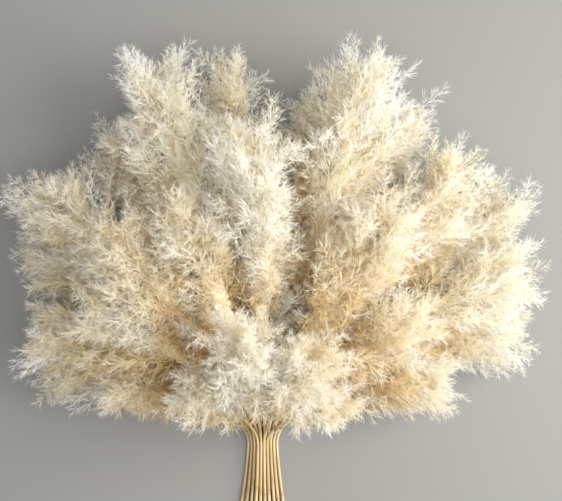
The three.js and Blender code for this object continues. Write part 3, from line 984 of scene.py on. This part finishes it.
def blended(tree, kind, factor, first, second):
    """The output of a colour mix. The factor and the second colour may be a socket or a value."""
    node = tree.nodes.new("ShaderNodeMix")
    node.data_type = "RGBA"
    node.blend_type = kind
    for name, value in (("Factor", factor), ("A", first), ("B", second)):
        if isinstance(value, bpy.types.NodeSocket):
            tree.links.new(value, node.inputs[name])
        else:
            node.inputs[name].default_value = value
    return node.outputs["Result"]


def ramp(tree, stops):
    """A colour ramp with these stops."""
    node = tree.nodes.new("ShaderNodeValToRGB")
    elements = node.color_ramp.elements
    while len(elements) < len(stops):
        elements.new(0.5)
    for element, (position, colour) in zip(elements, stops):
        element.position = position
        element.color = (*colour, 1)
    return node


# ---- The stage, in metres ----

FLOOR_SIZE = 12
KEY_PLACE, KEY_SIZE, KEY_COLOUR = (1.6, 0.1, 1.25), 1.5, (1.0, 0.97, 0.91)
FILL_PLACE, FILL_SIZE, FILL_COLOUR = (0.0, -0.15, 2.4), 1.8, (0.97, 0.98, 1.0)
AIM = Vector((0, 0.05, 0.08))  # what the lights look at
STUDIO_COLOUR, STUDIO_STRENGTH = (1.0, 0.98, 0.95, 1), 0.48
CAMERA_PLACE = np.array([28.5, 227.0, 1470.0])  # in millimetres from the fan point. It looks straight down
LENS, SENSOR = 59.8, 36


def area_light(name, place, size, colour, power):
    """A soft square light that looks at the middle of the bundle."""
    light = bpy.data.lights.new(name, "AREA")
    light.size = size
    light.energy = power
    light.color = colour
    thing = bpy.data.objects.new(name, light)
    thing.location = place
    thing.rotation_euler = (AIM - thing.location).to_track_quat("-Z", "Y").to_euler()
    bpy.context.scene.collection.objects.link(thing)


# ---- Operators ----


class PAMPAS_OT_culms(bpy.types.Operator):
    """Build every culm from its cut end into its plume"""

    bl_idname = "pampas.culms"
    bl_label = "Culms"

    def execute(self, context):
        settings = context.scene.pampas_culm
        model, material = culm_model(), straw_material(settings)
        for stem in STEMS:
            culm(stem, model, material)
        return {"FINISHED"}


class PAMPAS_OT_plumes(bpy.types.Operator):
    """Grow every plume from its branchlets and hairs"""

    bl_idname = "pampas.plumes"
    bl_label = "Plumes"

    def execute(self, context):
        settings = context.scene.pampas_plume
        random = np.random.default_rng(settings.seed)
        hair, body, core = blade(), stalk(STALK_SIDES, STALK_RINGS), stalk(CORE_SIDES, CORE_RINGS)
        full = [branchlet(random, hair, body, *FULL, settings) for _ in range(KINDS)]
        sparse = [branchlet(random, hair, body, *SPARSE, settings) for _ in range(KINDS)]
        material = silk_material(settings)
        for stem in STEMS:
            plume(stem, (full, sparse), core, material, settings)
        return {"FINISHED"}


class PAMPAS_OT_stage(bpy.types.Operator):
    """Lay the floor and set the lights and the camera"""

    bl_idname = "pampas.stage"
    bl_label = "Stage"

    def execute(self, context):
        settings = context.scene.pampas_stage
        deselected()
        bpy.ops.mesh.primitive_plane_add(size=FLOOR_SIZE, location=(0, 0, 0))
        floor = bpy.context.object
        floor.name = "floor"
        material, tree, shader = new_material("floor")
        shader.inputs["Base Color"].default_value = (*settings.floor, 1)
        shader.inputs["Roughness"].default_value = 0.9
        shader.inputs["Specular IOR Level"].default_value = 0.2
        floor.data.materials.append(material)
        world = bpy.data.worlds.new("studio")
        world.use_nodes = True
        background = world.node_tree.nodes["Background"]
        background.inputs["Color"].default_value = STUDIO_COLOUR
        background.inputs["Strength"].default_value = STUDIO_STRENGTH
        context.scene.world = world
        area_light("key", KEY_PLACE, KEY_SIZE, KEY_COLOUR, settings.key)
        area_light("fill", FILL_PLACE, FILL_SIZE, FILL_COLOUR, settings.fill)
        camera = bpy.data.cameras.new("camera")
        camera.lens = LENS
        camera.sensor_width = SENSOR
        eye = bpy.data.objects.new("camera", camera)
        eye.location = in_frame(CAMERA_PLACE)
        context.scene.collection.objects.link(eye)
        context.scene.camera = eye
        context.scene.view_settings.view_transform = "Standard"
        return {"FINISHED"}


class PAMPAS_PT_build(bpy.types.Panel):
    """The steps that build the bundle, in their order"""

    bl_label = "Pampas grass bundle"
    bl_idname = "PAMPAS_PT_build"
    bl_space_type = "VIEW_3D"
    bl_region_type = "UI"
    bl_category = "Pampas"

    def draw(self, context):
        scene = context.scene
        for step, settings in (
            (PAMPAS_OT_culms, scene.pampas_culm),
            (PAMPAS_OT_plumes, scene.pampas_plume),
            (PAMPAS_OT_stage, scene.pampas_stage),
        ):
            box = self.layout.box()
            for name in settings.__annotations__:
                box.prop(settings, name)
            box.operator(step.bl_idname)


CLASSES = (
    PlumeSettings, CulmSettings, StageSettings,
    PAMPAS_OT_culms, PAMPAS_OT_plumes, PAMPAS_OT_stage, PAMPAS_PT_build,
)


def register():
    for each in CLASSES:
        bpy.utils.register_class(each)
    bpy.types.Scene.pampas_plume = bpy.props.PointerProperty(type=PlumeSettings)
    bpy.types.Scene.pampas_culm = bpy.props.PointerProperty(type=CulmSettings)
    bpy.types.Scene.pampas_stage = bpy.props.PointerProperty(type=StageSettings)


def unregister():
    del bpy.types.Scene.pampas_stage
    del bpy.types.Scene.pampas_culm
    del bpy.types.Scene.pampas_plume
    for each in reversed(CLASSES):
        bpy.utils.unregister_class(each)


def main():
    register()
    bpy.ops.pampas.culms()
    bpy.ops.pampas.plumes()
    bpy.ops.pampas.stage()


if __name__ == "__main__":
    main()
